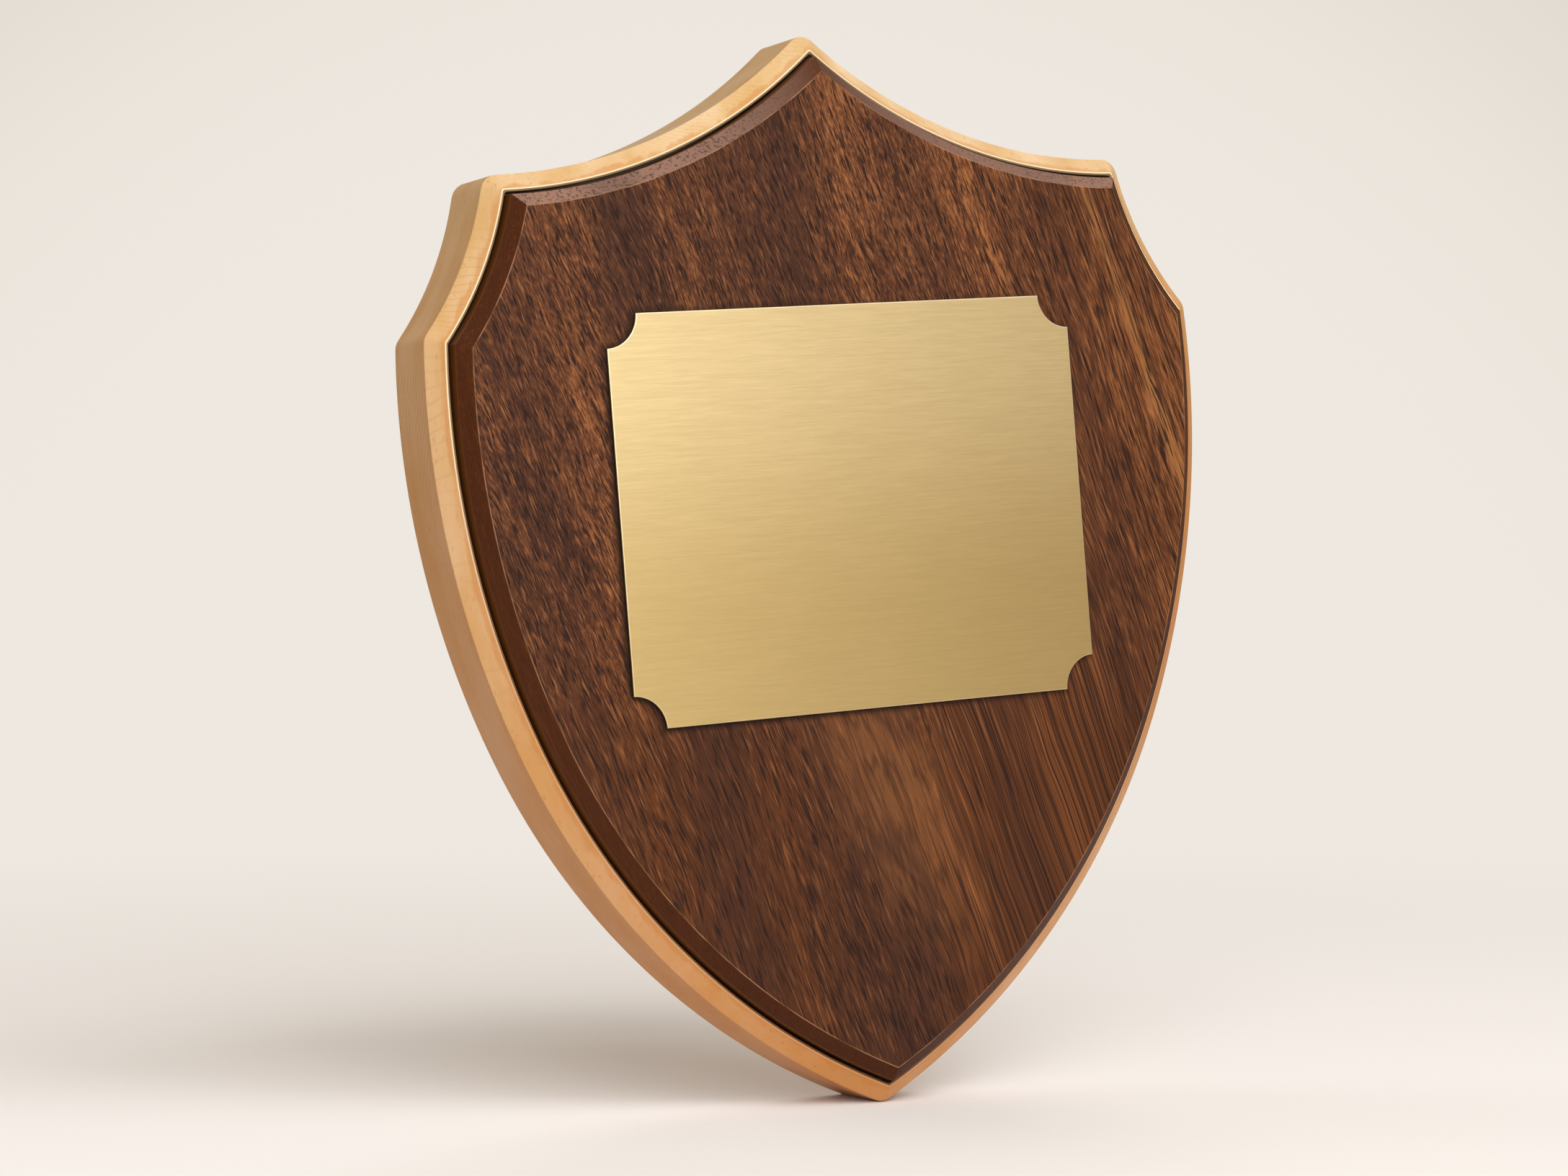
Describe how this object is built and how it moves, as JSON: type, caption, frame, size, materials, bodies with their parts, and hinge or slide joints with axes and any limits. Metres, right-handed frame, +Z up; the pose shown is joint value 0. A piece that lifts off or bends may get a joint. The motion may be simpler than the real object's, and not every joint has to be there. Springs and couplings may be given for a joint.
{
  "type": "shield plaque",
  "caption": "Shield-shaped wooden wall plaque: a chamfered maple backboard, a raised walnut front panel set in it, and a blank brass plate with scooped corners.",
  "frame": {"origin": "on the flat back face of the backboard, in the middle of its width, 80 mm below the top tip and just under the keyhole slot", "axes": "+X to the right as the front is seen, -Y out of the front, +Y into the wall, +Z up"},
  "size_m": [0.2464, 0.0325, 0.3028],
  "materials": {
    "maple": "satin oiled maple",
    "walnut": "satin oiled walnut",
    "brass": "satin brushed brass"
  },
  "bodies": {
    "root": {"maple_backboard": "maple", "walnut_panel": "walnut", "brass_plate": "brass"}
  },
  "joints": []
}
